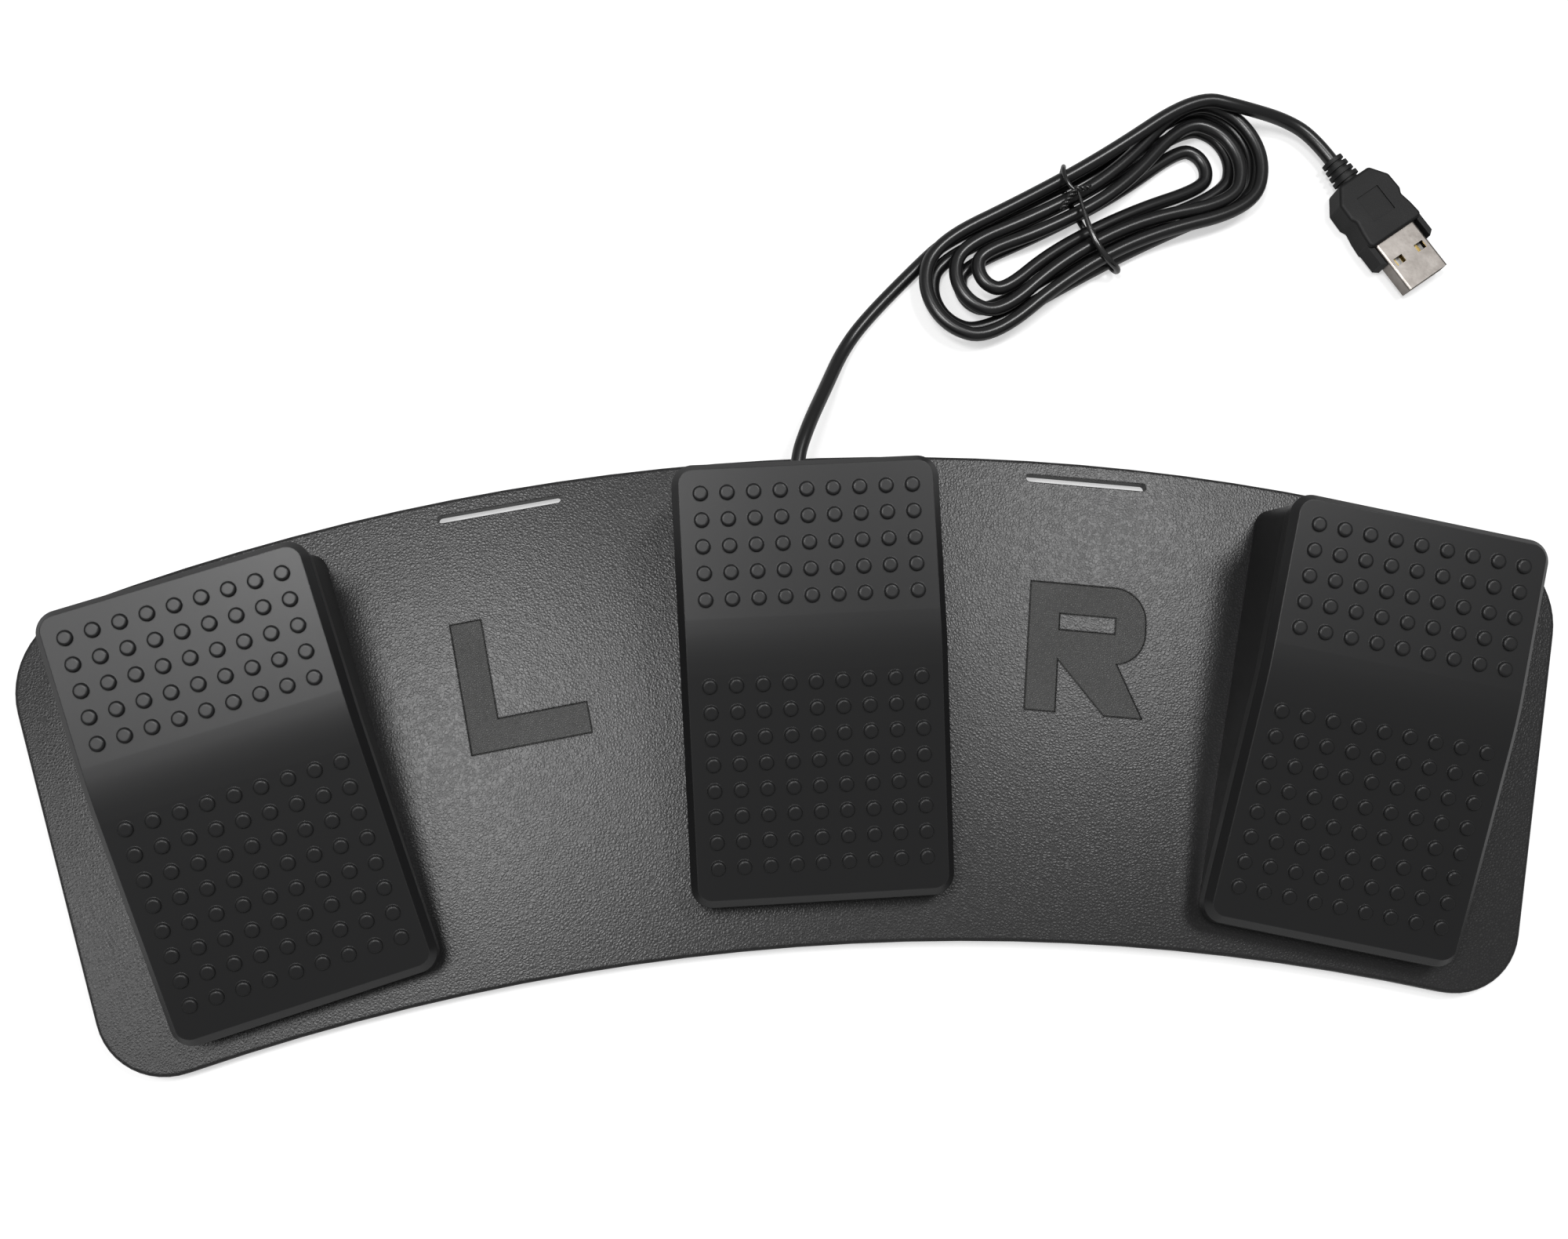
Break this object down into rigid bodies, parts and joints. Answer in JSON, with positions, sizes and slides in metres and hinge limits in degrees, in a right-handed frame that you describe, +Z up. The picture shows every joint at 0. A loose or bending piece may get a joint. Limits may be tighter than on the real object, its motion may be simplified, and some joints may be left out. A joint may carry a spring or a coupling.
{
  "type": "usb foot pedal switch",
  "caption": "Arc-shaped foot switch: hinged, dotted treadles with spring returns on a grained plate, letter marks, strap slots and a tied cord with a USB plug.",
  "frame": {"origin": "middle of the base plate's outline, on the floor under the rubber feet", "axes": "+X to the user's right, +Y away from the user to the side where the cord leaves, +Z up"},
  "size_m": [0.3498, 0.2154, 0.038],
  "materials": {
    "plate_plastic": "pebble grain, dark grey",
    "mark_plastic": "coarse grain, grey",
    "treadle_plastic": "satin black",
    "housing_plastic": "smooth satin black",
    "foot_rubber": "dull black",
    "cover_film": "dull black film",
    "pin_steel": "turned, bright",
    "spring_steel": "drawn wire",
    "screw_steel": "zinc plated",
    "switch_plastic": "moulded black",
    "plunger_plastic": "off-white, smooth",
    "blade_metal": "tinned brass",
    "board_laminate": "green solder mask",
    "chip_plastic": "moulded black",
    "socket_plastic": "cream, smooth",
    "wire_jacket": "smooth grey-black",
    "cord_jacket": "glossy black",
    "gland_rubber": "satin black",
    "tie_plastic": "glossy black film",
    "plug_plastic": "fine matte black",
    "plug_steel": "plated, satin",
    "tongue_plastic": "dark, smooth",
    "contact_metal": "gilt"
  },
  "bodies": {
    "base": {"base_plate": "plate_plastic", "mark_left": "mark_plastic", "mark_right": "mark_plastic", "rubber_feet": "foot_rubber", "groove_cover_left": "cover_film", "groove_cover_right": "cover_film", "left_housing": "housing_plastic", "left_hinge_pin": "pin_steel", "left_return_spring": "spring_steel", "left_switch_body": "switch_plastic", "left_switch_blades": "blade_metal", "left_screws": "screw_steel", "centre_housing": "housing_plastic", "centre_hinge_pin": "pin_steel", "centre_return_spring": "spring_steel", "centre_switch_body": "switch_plastic", "centre_switch_blades": "blade_metal", "centre_screws": "screw_steel", "right_housing": "housing_plastic", "right_hinge_pin": "pin_steel", "right_return_spring": "spring_steel", "right_switch_body": "switch_plastic", "right_switch_blades": "blade_metal", "right_screws": "screw_steel", "circuit_board": "board_laminate", "controller_chip": "chip_plastic", "board_sockets": "socket_plastic", "board_screws": "screw_steel", "left_wire": "wire_jacket", "right_wire": "wire_jacket", "centre_wire": "wire_jacket", "cord_gland": "gland_rubber", "inner_lead": "wire_jacket", "cord_lead": "cord_jacket", "cord_hank": "cord_jacket", "cord_tail": "cord_jacket", "hank_tie": "tie_plastic", "plug_boot": "gland_rubber", "plug_body": "plug_plastic", "plug_shell": "plug_steel", "plug_tongue": "tongue_plastic", "plug_contacts": "contact_metal"},
    "left_pedal": {"left_treadle": "treadle_plastic"},
    "left_button": {"left_switch_plunger": "plunger_plastic"},
    "centre_pedal": {"centre_treadle": "treadle_plastic"},
    "centre_button": {"centre_switch_plunger": "plunger_plastic"},
    "right_pedal": {"right_treadle": "treadle_plastic"},
    "right_button": {"right_switch_plunger": "plunger_plastic"}
  },
  "joints": [
    {"name": "left_press", "type": "hinge", "parent": "base", "child": "left_pedal", "pos_m": [-0.11172, -0.04313, 0.0109], "axis": [-0.9675, -0.2527, 0], "range_deg": [0, 1.5], "stiffness_Nm_per_rad": 6, "springref_deg": -2.29, "deforming": ["left_return_spring"]},
    {"name": "left_click", "type": "slide", "parent": "base", "child": "left_button", "axis": [0, 0, -1], "range_m": [0, 0.00106]},
    {"name": "centre_press", "type": "hinge", "parent": "base", "child": "centre_pedal", "pos_m": [0, -0.02705, 0.0109], "axis": [-1, 0, 0], "range_deg": [0, 1.5], "stiffness_Nm_per_rad": 6, "springref_deg": -2.29, "deforming": ["centre_return_spring"]},
    {"name": "centre_click", "type": "slide", "parent": "base", "child": "centre_button", "axis": [0, 0, -1], "range_m": [0, 0.00106]},
    {"name": "right_press", "type": "hinge", "parent": "base", "child": "right_pedal", "pos_m": [0.11172, -0.04313, 0.0109], "axis": [-0.9675, 0.2527, 0], "range_deg": [0, 1.5], "stiffness_Nm_per_rad": 6, "springref_deg": -2.29, "deforming": ["right_return_spring"]},
    {"name": "right_click", "type": "slide", "parent": "base", "child": "right_button", "axis": [0, 0, -1], "range_m": [0, 0.00106]}
  ],
  "couplings": [
    {"joint": "left_click", "follows": "left_press", "m_per_rad": 0.039},
    {"joint": "centre_click", "follows": "centre_press", "m_per_rad": 0.039},
    {"joint": "right_click", "follows": "right_press", "m_per_rad": 0.039}
  ]
}
